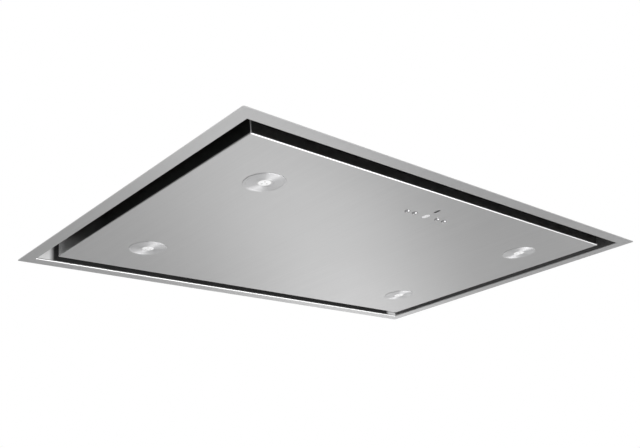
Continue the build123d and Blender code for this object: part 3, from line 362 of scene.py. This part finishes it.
def pan_head_screw(shank):
    """One screw upright on z = 0, as rings of points from the head's top to the shank's tip.

    The head's height is the rim plus the rest times the root of one less the radius squared,
    less the recess: a cross of two slots with sloped walls.
    """
    dome = np.linspace(0.02, 1.0, dome_rings)
    top = head_rim + (head_height - head_rim) * np.sqrt(1.0 - dome**2)
    radii = np.concatenate((dome * head_radius, (head_radius, shank_radius, shank_radius, 1e-5)))
    levels = np.concatenate((top, (0.0, 0.0, -shank, -shank)))
    turn = np.linspace(0.0, 2.0 * math.pi, screw_segments, endpoint=False)
    x = radii[:, None] * np.cos(turn)
    y = radii[:, None] * np.sin(turn)
    wide = np.maximum(np.abs(x) - recess_reach, np.abs(y) - recess_half_width)
    tall = np.maximum(np.abs(y) - recess_reach, np.abs(x) - recess_half_width)
    within = np.clip(-np.minimum(wide, tall) / recess_slope, 0.0, 1.0)
    within[len(dome):] = 0.0
    z = levels[:, None] - recess_depth * within
    return np.stack((x, y, z), -1)


def screw_set(name, seats, outward, shank, replaced):
    """Pan-head screws on seats, each with its head along its outward direction.

    Every screw is one upright screw whose X, Y and Z are laid along three directions at
    right angles, turned further from screw to screw by the same angle.
    """
    one = pan_head_screw(shank)
    rings = one.shape[0]
    seats = np.array(seats)
    outward = np.array(outward, float)
    hint = np.where(np.abs(outward[:, 2:]) > 0.5, (1.0, 0.0, 0.0), (0.0, 0.0, 1.0))
    first = np.cross(hint, outward)
    second = np.cross(outward, first)
    turn = np.arange(len(seats)) * screw_turn
    cos, sin = np.cos(turn)[:, None], np.sin(turn)[:, None]
    first, second = cos * first + sin * second, cos * second - sin * first
    flat = one.reshape(-1, 3)
    points = (
        seats[:, None, :]
        + flat[None, :, 0:1] * first[:, None, :]
        + flat[None, :, 1:2] * second[:, None, :]
        + flat[None, :, 2:3] * outward[:, None, :]
    )
    start = np.arange(len(seats))[:, None, None] * len(flat)
    faces = (lathe_faces(rings, screw_segments)[None, :, ::-1] + start).reshape(-1, 4)
    rim = np.arange(screw_segments)
    starts = np.arange(len(seats))[:, None] * len(flat)
    ends = np.concatenate((rim + starts, (rim + (rings - 1) * screw_segments)[::-1] + starts))
    piece(name, points, faces, screw_steel, "housing", replaced, ends.tolist())


def mirrored(x, y, z):
    """The four seats at plus and minus x and y on one level."""
    return [(x, y, z), (-x, y, z), (x, -y, z), (-x, -y, z)]


# Screws through the casing's sides: the lower row into the collar, the upper into the tray.
side_levels = (0.030, 0.052)
side_reach_x, side_reach_y = 0.340, 0.200
side_face_x, side_face_y = slot_x + 0.0023, slot_y + 0.0023
side_shank = 0.003
long_sides = [
    (x, y, z)
    for z in side_levels
    for x in (side_reach_x, -side_reach_x)
    for y in (side_face_y, -side_face_y)
]
short_sides = [
    (x, y, z)
    for z in side_levels
    for x in (side_face_x, -side_face_x)
    for y in (side_reach_y, -side_reach_y)
]
side_outward = [(0.0, math.copysign(1.0, y), 0.0) for _, y, _ in long_sides]
side_outward += [(math.copysign(1.0, x), 0.0, 0.0) for x, _, _ in short_sides]
screw_set(
    "casing_side_screws", long_sides + short_sides, side_outward, side_shank, ["casing_screws"]
)

# Screws down into the casing's top: round the roof's rim, in the feet of the blower box and
# in the hanging brackets. The last four hold the outlet collar.
upward = (0.0, 0.0, 1.0)
top_shank = 0.008
roof_level, box_foot_level, bracket_level, outlet_level = 0.096, 0.097, 0.0985, 0.268
rim_x, rim_y = 0.4218, 0.2718
roof_reach_x, roof_reach_y = 0.360, 0.150
box_feet = ((0.150, 0.179), (0.207, 0.110))
bracket_feet = ((0.356, 0.250), (0.356, 0.230))
outlet_x, outlet_y = 0.081, (0.0, 0.162)
top_seats = mirrored(roof_reach_x, rim_y, roof_level)
top_seats += [(0.0, rim_y, roof_level), (0.0, -rim_y, roof_level)]
top_seats += mirrored(rim_x, roof_reach_y, roof_level)
for x, y in box_feet:
    top_seats += mirrored(x, y, box_foot_level)
for x, y in bracket_feet:
    top_seats += mirrored(x, y, bracket_level)
screw_set(
    "casing_top_screws", top_seats, [upward] * len(top_seats), top_shank, ["casing_screws"]
)
outlet_seats = [(x, y, outlet_level) for x in (outlet_x, -outlet_x) for y in outlet_y]
screw_set(
    "outlet_screws", outlet_seats, [upward] * len(outlet_seats), top_shank, ["blower_screws"]
)

# ---------------------------------------------------------------------------------------
# Filter tray and rails: steel sheet with a satin black powder coat, so that nothing
# shines behind the air slot.

black_coat, tree, skin = finish("black_coat", 0.0, {"Specular IOR Level": 0.25})
peel = noise(tree, (0.0016, 0.0016, 0.0016), detail=2.0)
dust = noise(tree, (0.03, 0.03, 0.03), detail=4.0, shift=(6.0, 1.0, 3.0))
tint(tree, skin, dust, (0.008, 0.008, 0.008), (0.016, 0.016, 0.017))
roughen(tree, skin, peel, 0.46, 0.60)
relief(tree, skin, peel, 0.00012)
dress(black_coat, "filter_tray", "filter_rail_front", "filter_rail_rear")

# ---------------------------------------------------------------------------------------
# Grease filters: rolled aluminium channel frames round pads of expanded aluminium. A pad
# is two sheets, slit and pulled open into diamonds, a fine one under a coarse one.

filter_aluminium, tree, skin = finish("filter_aluminium", 1.0)
rolled = noise(tree, (0.05, 0.0008, 0.002), detail=3.0)
haze = noise(tree, (0.02, 0.02, 0.02), detail=3.0, shift=(2.0, 8.0, 1.0))
tint(tree, skin, haze, (0.62, 0.63, 0.64), (0.77, 0.775, 0.78))
roughen(tree, skin, rolled, 0.30, 0.45)
relief(tree, skin, rolled, 0.00004)
dress(filter_aluminium, "filter_frame_left", "filter_frame_right")

pad_x = 0.198
pad_length = 0.3874
pad_width = 0.2974
bond = 0.08
fine = dict(
    diamond_length=0.010, diamond_width=0.006, strand=0.0009, gauge=0.0004, level=0.0524
)
coarse = dict(
    diamond_length=0.015, diamond_width=0.009, strand=0.0013, gauge=0.0004, level=0.0535
)


def expanded_sheet(centre_x, diamond_length, diamond_width, strand, gauge, level):
    """Corner points of one expanded sheet, as strands by stations by four corners.

    Each strand is a zigzag along X: half a diamond's width times a triangle wave of X over the
    diamond's length, cut flat where it bonds to its neighbour. Neighbours are half a wave
    apart. The strand leans to one side on the way up and to the other on the way down.
    """
    rows = int(pad_width / (diamond_width / 2.0)) - 1
    waves = int(pad_length / diamond_length)
    quarter = np.array((-bond, bond, 0.5 - bond, 0.5 + bond))
    run = (np.arange(waves)[:, None] + quarter[None, :]).reshape(-1)
    run = np.concatenate((run, (waves - bond,)))
    x = ((run - run[0]) / (run[-1] - run[0]) - 0.5) * pad_length
    row = np.arange(rows)[:, None]
    station = np.arange(len(run))[None, :]
    flipped = np.where(row % 2, 1.0, -1.0)
    rise = np.where(station % 4 < 2, 1.0, -1.0) * flipped
    lean = 0.5 * gauge * np.where(station % 2, 1.0, -1.0) * flipped
    half = diamond_width / 4.0
    y = (row - (rows - 1) / 2.0) * 2.0 * half + rise * (half - strand / 2.0)
    corner_y = np.array((-0.5, 0.5, 0.5, -0.5)) * strand
    corner_z = np.array((-0.5, -0.5, 0.5, 0.5)) * gauge
    tilt = np.array((-1.0, 1.0, 1.0, -1.0))
    points = np.empty((rows, len(run), 4, 3))
    points[..., 0] = centre_x + x[None, :, None]
    points[..., 1] = y[..., None] + corner_y
    points[..., 2] = level + corner_z + lean[..., None] * tilt
    return points


def strand_faces(rows, stations):
    """Four sides of every stretch of every strand, and a cap at both ends."""
    first = (np.arange(rows)[:, None] * stations + np.arange(stations - 1)[None, :]) * 4
    side = np.arange(4)
    sides = np.stack(
        (
            first[..., None] + side,
            first[..., None] + (side + 1) % 4,
            first[..., None] + 4 + (side + 1) % 4,
            first[..., None] + 4 + side,
        ),
        -1,
    ).reshape(-1, 4)
    heads = np.arange(rows)[:, None] * stations * 4 + side[None, ::-1]
    tails = (np.arange(rows)[:, None] * stations + stations - 1) * 4 + side[None, :]
    return np.concatenate((sides, heads, tails))


for side_name, centre_x in (("left", -pad_x), ("right", pad_x)):
    layers = [expanded_sheet(centre_x, **weave) for weave in (fine, coarse)]
    faces = []
    count = 0
    for layer in layers:
        faces.append(strand_faces(layer.shape[0], layer.shape[1]) + count)
        count += layer.size // 3
    piece(
        f"expanded_mesh_{side_name}",
        np.concatenate([layer.reshape(-1, 3) for layer in layers]),
        np.concatenate(faces),
        filter_aluminium,
        "housing",
        [f"filter_mesh_{side_name}"],
    )

# ---------------------------------------------------------------------------------------
# Lamps: turned aluminium bezels with a frosted lens seated in each from behind, on finned
# aluminium heat sinks. Lock rings clamp them to the panel.

lamp_x = 0.3
lamp_y = 0.15
bezel_segments = 128
bezel_face = -0.0018
bezel_bore = 0.00985
bezel_radius = 0.030
bezel_back = -0.001
spigot_radius = 0.0267
spigot_end = 0.012
seat_radius = 0.012
seat_level = -0.0002
rim_round = 0.0005
groove_radii = (0.0128, 0.0268)
groove_half_width = 0.0003
groove_depth = 0.00022
tool_mark = 0.000012
tool_pitch = 0.0005
face_step = 0.000125
ring_scale = 1800.0


def from_lamp(tree, component, spacing):
    """Distance from the nearest lamp's axis along X or Y: its size less the spacing, signed."""
    size = calculate(tree, "ABSOLUTE", component)
    side = calculate(tree, "SIGN", component)
    return calculate(tree, "MULTIPLY", calculate(tree, "SUBTRACT", size, spacing), side)


def around_lamp(tree):
    """Distances from the nearest lamp's axis: along X, along Y, as a vector, and its length."""
    place = node(tree, "ShaderNodeTexCoord").outputs["Object"]
    x, y, _ = node(tree, "ShaderNodeSeparateXYZ", {"Vector": place}).outputs
    out_x = from_lamp(tree, x, lamp_x)
    out_y = from_lamp(tree, y, lamp_y)
    outward = node(tree, "ShaderNodeCombineXYZ", {"X": out_x, "Y": out_y}).outputs[0]
    length = node(tree, "ShaderNodeVectorMath", {0: outward}, operation="LENGTH")
    return out_x, out_y, outward, length.outputs["Value"]


turned_aluminium, tree, skin = finish("turned_aluminium", 1.0, {"Anisotropic": 0.75})
_, _, outward, radius = around_lamp(tree)
tree.links.new(world_direction(tree, outward), skin.inputs["Tangent"])
ring_place = node(tree, "ShaderNodeCombineXYZ", {"X": radius}).outputs[0]
rings = node(
    tree,
    "ShaderNodeTexNoise",
    {"Vector": ring_place, "Scale": ring_scale, "Detail": 3.0, "Roughness": 0.7},
).outputs["Fac"]
tint(tree, skin, rings, (0.58, 0.58, 0.585), (0.74, 0.74, 0.745))
roughen(tree, skin, rings, 0.52, 0.58)
relief(tree, skin, rings, 0.00002)


def bezel_points(centre_x, centre_y):
    """A turned ring as a closed profile carried round the lamp's axis.

    Its face is level but for two V grooves and the marks of the tool, a triangle wave of the
    radius. A quarter round leads to the rim, then come the flange, the spigot and the lens seat.
    """
    across = np.arange(bezel_bore, bezel_radius - rim_round, face_step)
    wave = np.abs((across / tool_pitch) % 1.0 - 0.5) * 2.0 * tool_mark
    groove = sum(
        np.clip(1.0 - np.abs(across - at) / groove_half_width, 0.0, 1.0) for at in groove_radii
    )
    bend = np.linspace(0.0, 0.5 * math.pi, 6)
    round_r = bezel_radius - rim_round + rim_round * np.sin(bend)
    round_z = bezel_face + rim_round - rim_round * np.cos(bend)
    rest_r = (bezel_radius, spigot_radius, spigot_radius, seat_radius, seat_radius, bezel_bore)
    rest_z = (bezel_back, bezel_back, spigot_end, spigot_end, seat_level, seat_level)
    radii = np.concatenate((across, round_r, rest_r))
    levels = np.concatenate((bezel_face + wave + groove * groove_depth, round_z, rest_z))
    turn = np.linspace(0.0, 2.0 * math.pi, bezel_segments, endpoint=False)
    x = centre_x + radii[:, None] * np.cos(turn)
    y = centre_y + radii[:, None] * np.sin(turn)
    return np.stack((x, y, np.broadcast_to(levels[:, None], x.shape)), -1)


lamp_places = ((-lamp_x, -lamp_y), (lamp_x, -lamp_y), (-lamp_x, lamp_y), (lamp_x, lamp_y))
for number, (centre_x, centre_y) in enumerate(lamp_places, 1):
    points = bezel_points(centre_x, centre_y)
    piece(
        f"turned_bezel_{number}",
        points,
        lathe_faces(points.shape[0], bezel_segments, closed=True),
        turned_aluminium,
        "panel",
        [f"lamp_bezel_{number}"],
    )

# The lens shows the three chips of its diode, in a ring, and its own grey edge.
chip_radius = 0.0040
frosted_lens, tree, skin = finish("frosted_lens", 0.0, {"IOR": 1.49, "Emission Strength": 0.05})
skin.inputs["Emission Color"].default_value = (1.0, 0.99, 0.97, 1.0)
frost = noise(tree, (0.0004, 0.0004, 0.0004), detail=2.0)
out_x, out_y, _, radius = around_lamp(tree)
angle = calculate(tree, "ARCTAN2", out_y, out_x)
petal = calculate(tree, "COSINE", calculate(tree, "MULTIPLY", angle, 3.0))
off_ring = calculate(tree, "ABSOLUTE", calculate(tree, "SUBTRACT", radius, chip_radius))
chips = calculate(
    tree,
    "MULTIPLY",
    spread(tree, off_ring, 1.0, 0.0, 0.0012, 0.0018),
    spread(tree, petal, 0.0, 1.0, 0.55, 0.75),
)
edge = spread(tree, radius, 0.0, 1.0, 0.0084, 0.0096)
marks = calculate(tree, "MAXIMUM", chips, edge)
pale = shade(tree, spread(tree, frost, 0.0, 1.0), (0.84, 0.845, 0.85), (0.90, 0.90, 0.90))
tree.links.new(shade(tree, marks, pale, (0.50, 0.50, 0.49)), skin.inputs["Base Color"])
roughen(tree, skin, frost, 0.30, 0.42)
relief(tree, skin, frost, 0.00002)
dress(frosted_lens, "lamp_lenses")

heat_sink, tree, skin = finish("heat_sink_aluminium", 1.0)
cast = noise(tree, (0.0012, 0.0012, 0.0012), detail=3.0)
tint(tree, skin, cast, (0.58, 0.59, 0.60), (0.70, 0.71, 0.72))
roughen(tree, skin, cast, 0.42, 0.58)
relief(tree, skin, cast, 0.00008)
dress(heat_sink, "lamp_bodies")

# ---------------------------------------------------------------------------------------
# Push buttons: solid steel domes, turned, polished and plated with dark nickel, in clearance
# holes of the panel. A coil of drawn spring wire holds each one out.

polished_steel, tree, skin = finish("polished_steel", 1.0)
polish = noise(tree, (0.0012, 0.0012, 0.0012), detail=3.0)
tint(tree, skin, polish, (0.43, 0.43, 0.435), (0.48, 0.48, 0.485))
roughen(tree, skin, polish, 0.06, 0.13)
relief(tree, skin, polish, 0.000003)
dress(polished_steel, *(f"button_{number}" for number in (1, 2, 3, 4)))

spring_steel, tree, skin = finish("spring_steel", 1.0)
drawn = noise(tree, (0.0006, 0.0006, 0.0002), detail=2.0)
tint(tree, skin, drawn, (0.50, 0.50, 0.51), (0.66, 0.66, 0.67))
roughen(tree, skin, drawn, 0.24, 0.36)
dress(spring_steel, "button_springs")

# ---------------------------------------------------------------------------------------
# Windows of the display and of the remote control's receiver: one milky and one smoked,
# both pressed through slots of the panel.

display_glass, tree, skin = finish("display_glass", 0.0, {"IOR": 1.5, "Emission Strength": 0.1})
skin.inputs["Emission Color"].default_value = (1.0, 1.0, 1.0, 1.0)
milk = noise(tree, (0.004, 0.004, 0.004), detail=2.0)
tint(tree, skin, milk, (0.50, 0.505, 0.51), (0.58, 0.58, 0.58))
roughen(tree, skin, milk, 0.10, 0.18)
dress(display_glass, "display_window")

smoked_window, tree, skin = finish("smoked_window", 0.0, {"IOR": 1.5, "Specular IOR Level": 0.12})
smoke = noise(tree, (0.003, 0.003, 0.003), detail=2.0)
tint(tree, skin, smoke, (0.006, 0.006, 0.007), (0.012, 0.011, 0.012))
roughen(tree, skin, smoke, 0.10, 0.16)
dress(smoked_window, "receiver_window")

# ---------------------------------------------------------------------------------------
# Mouldings: housing, latches, lock rings, outlet with its flaps and gland in black plastic,
# the scroll and impeller in grey, and the catches' magnets in a black block.


def moulded(name, dark, light, grain_size, roughness):
    """Moulded plastic: a spark-eroded grain of small bumps, and slow changes of tone."""
    made, tree, skin = finish(name, 0.0, {"IOR": 1.5})
    erosion = noise(tree, (grain_size,) * 3, detail=2.0)
    flow = noise(tree, (0.02, 0.02, 0.02), detail=2.0, shift=(4.0, 2.0, 9.0))
    tint(tree, skin, flow, dark, light)
    roughen(tree, skin, erosion, roughness - 0.05, roughness + 0.07)
    relief(tree, skin, erosion, 0.1 * grain_size)
    return made


black_plastic = moulded("black_plastic", (0.016, 0.016, 0.017), (0.028, 0.028, 0.029), 0.0007, 0.42)
dress(
    black_plastic,
    *("control_housing", "filter_latch_left", "filter_latch_right", "lamp_lock_rings"),
    *("outlet_collar", "damper_flap_back", "damper_flap_front", "cable_gland"),
)
grey_plastic = moulded("grey_plastic", (0.09, 0.095, 0.10), (0.13, 0.135, 0.14), 0.001, 0.46)
dress(grey_plastic, "scroll_left", "scroll_right", "impeller")
magnet_block = moulded("magnet_block", (0.010, 0.010, 0.011), (0.018, 0.018, 0.019), 0.0008, 0.5)
dress(magnet_block, "catch_magnets")

# ---------------------------------------------------------------------------------------
# Motor and circuit boards: a motor in dark enamel, held by its bracket, and green lacquered
# boards with printed tracks, one behind the buttons and one in the electronics box.

motor_casing, tree, skin = finish("motor_casing", 0.0, {"IOR": 1.5})
paint = noise(tree, (0.002, 0.002, 0.002), detail=2.0)
tint(tree, skin, paint, (0.035, 0.04, 0.045), (0.06, 0.065, 0.07))
roughen(tree, skin, paint, 0.30, 0.44)
relief(tree, skin, paint, 0.0001)
dress(motor_casing, "motor")

circuit_board, tree, skin = finish("circuit_board", 0.0, {"IOR": 1.5})
place = node(tree, "ShaderNodeTexCoord").outputs["Object"]
tracks = node(
    tree,
    "ShaderNodeTexBrick",
    {
        "Vector": place,
        "Scale": 220.0,
        "Mortar Size": 0.03,
        "Brick Width": 1.6,
        "Row Height": 0.35,
        "Color1": (0.008, 0.075, 0.03, 1.0),
        "Color2": (0.010, 0.095, 0.04, 1.0),
        "Mortar": (0.03, 0.16, 0.06, 1.0),
    },
)
tree.links.new(tracks.outputs["Color"], skin.inputs["Base Color"])
lacquer = noise(tree, (0.004, 0.004, 0.004), detail=2.0)
roughen(tree, skin, lacquer, 0.22, 0.34)
relief(tree, skin, tracks.outputs["Fac"], 0.00003)
dress(circuit_board, "button_board", "power_board")

# ---------------------------------------------------------------------------------------
# Stage: a pale floor far below, a ceiling that is white from below and clear from above, and
# white surroundings. Four soft lights: at the far corner, low at the side, on the slot's far
# left end alone, and overhead for the hidden top.

floor_level = -3.6
floor_reach = 400.0
ceiling_level = 0.0004
ceiling_reach = (12.0, 12.0)
cutout_half = (0.436, 0.286)
room_light = 0.62
white = (1.0, 1.0, 1.0, 1.0)


def stage_sheet(name, rings, level, faces):
    """A flat sheet at one level, facing up, from rectangles given by their half sides."""
    corners = np.array([(-1.0, -1.0), (1.0, -1.0), (1.0, 1.0), (-1.0, 1.0)])
    flat = np.concatenate([corners * ring for ring in rings])
    points = np.column_stack((flat, np.full(len(flat), level)))
    mesh = bpy.data.meshes.new(name)
    mesh.from_pydata(points.tolist(), [], faces)
    sheet = bpy.data.objects.new(name, mesh)
    bpy.context.scene.collection.objects.link(sheet)
    return sheet


def background_rays(tree):
    """1 on rays that show the background: from the camera, off metal or through glass."""
    ray = node(tree, "ShaderNodeLightPath")
    shown = ray.outputs["Is Camera Ray"]
    for other in ("Is Glossy Ray", "Is Transmission Ray"):
        shown = calculate(tree, "MAXIMUM", shown, ray.outputs[other])
    return shown


floor = stage_sheet("floor", [(floor_reach, floor_reach)], floor_level, [(0, 1, 2, 3)])
floor_finish, tree, skin = finish(
    "floor_finish", 0.0, {"Specular IOR Level": 0.2, "Roughness": 0.7}
)
cloud = noise(tree, (1.2, 1.2, 1.2), detail=2.0)
tint(tree, skin, cloud, (0.72, 0.72, 0.72), (0.76, 0.76, 0.76))
floor.data.materials.append(floor_finish)

ring_faces = [(i, i + 4, (i + 1) % 4 + 4, (i + 1) % 4) for i in range(4)]
ceiling = stage_sheet("ceiling", [cutout_half, ceiling_reach], ceiling_level, ring_faces)
ceiling_finish = bpy.data.materials.new("ceiling_finish")
ceiling_finish.use_nodes = True
tree = ceiling_finish.node_tree
tree.nodes.clear()
from_below = node(tree, "ShaderNodeNewGeometry").outputs["Backfacing"]
seen = calculate(tree, "MULTIPLY", background_rays(tree), from_below)
clear = node(tree, "ShaderNodeBsdfTransparent").outputs[0]
glow = node(tree, "ShaderNodeEmission", {"Color": white, "Strength": 1.0}).outputs[0]
shown = node(tree, "ShaderNodeMixShader", {0: seen, 1: clear, 2: glow}).outputs[0]
node(tree, "ShaderNodeOutputMaterial", {"Surface": shown})
ceiling.data.materials.append(ceiling_finish)

surrounding = bpy.data.worlds.new("surrounding")
bpy.context.scene.world = surrounding
surrounding.use_nodes = True
tree = surrounding.node_tree
tree.nodes.clear()
level = spread(tree, background_rays(tree), room_light, 1.0, 0.0, 1.0)
sky = node(tree, "ShaderNodeBackground", {"Color": white, "Strength": level})
node(tree, "ShaderNodeOutputWorld", {"Surface": sky.outputs[0]})


def unit(vector):
    """A direction scaled to length one."""
    return vector / np.linalg.norm(vector)


def facing(side, up, forward, place):
    """The matrix that puts a light or camera at a place, looking forward along its own -Z."""
    rows = [[side[i], up[i], -forward[i], place[i]] for i in range(3)]
    return Matrix(rows + [[0.0, 0.0, 0.0, 1.0]])


def soft_light(name, place, aim, along, length, width, power):
    """A soft box at a place that faces a point, its long side as near to along as it can be."""
    light = bpy.data.lights.new(name, "AREA")
    light.shape = "RECTANGLE"
    light.size = length
    light.size_y = width
    light.energy = power
    holder = bpy.data.objects.new(name, light)
    bpy.context.scene.collection.objects.link(holder)
    forward = unit(np.array(aim) - np.array(place))
    side = unit(np.array(along) - np.dot(along, forward) * forward)
    holder.matrix_world = facing(side, np.cross(side, forward), forward, place)


centre = (0.0, 0.0, 0.0)
slot_end = (-0.41, 0.278, 0.005)
level_x = (1.0, 0.0, 0.0)
rising_x = (0.88, 0.0, 0.475)
soft_light(
    "far_corner_light", (2.5, 3.05, -2.0), centre, rising_x, length=3.0, width=1.0, power=11.3
)
soft_light("low_side_light", (1.6, -1.6, -2.5), centre, level_x, length=3.4, width=3.4, power=84.0)
soft_light(
    "slot_end_light", (-0.75, -3.2, -0.42), slot_end, level_x, length=0.6, width=0.3, power=30.0
)
soft_light("overhead_light", (1.6, -1.8, 2.6), centre, level_x, length=2.4, width=2.4, power=60.0)

# ---------------------------------------------------------------------------------------
# Camera: under the hood's left front corner, looking up along its diagonal. Its place, aim,
# roll and focal length come from the corners of the flange, slot and panel in the photo.

camera_place = np.array((-0.9487, -0.9178, -0.4516))
camera_aim = np.array((-0.1244, -0.0699, 0.0))
camera_roll = math.radians(5.21)
focal_pixels = 807.0
frame_pixels = 640
sensor_width = 36.0
nearest = 0.01
forward = unit(camera_aim - camera_place)
level_side = unit(np.cross(forward, (0.0, 0.0, 1.0)))
level_down = np.cross(forward, level_side)
right = math.cos(camera_roll) * level_side + math.sin(camera_roll) * level_down
lens = bpy.data.cameras.new("camera")
lens.sensor_width = sensor_width
lens.lens = focal_pixels / frame_pixels * sensor_width
lens.clip_start = nearest
camera = bpy.data.objects.new("camera", lens)
bpy.context.scene.collection.objects.link(camera)
camera.matrix_world = facing(right, np.cross(right, forward), forward, camera_place)
bpy.context.scene.camera = camera
bpy.context.scene.view_settings.view_transform = "Standard"
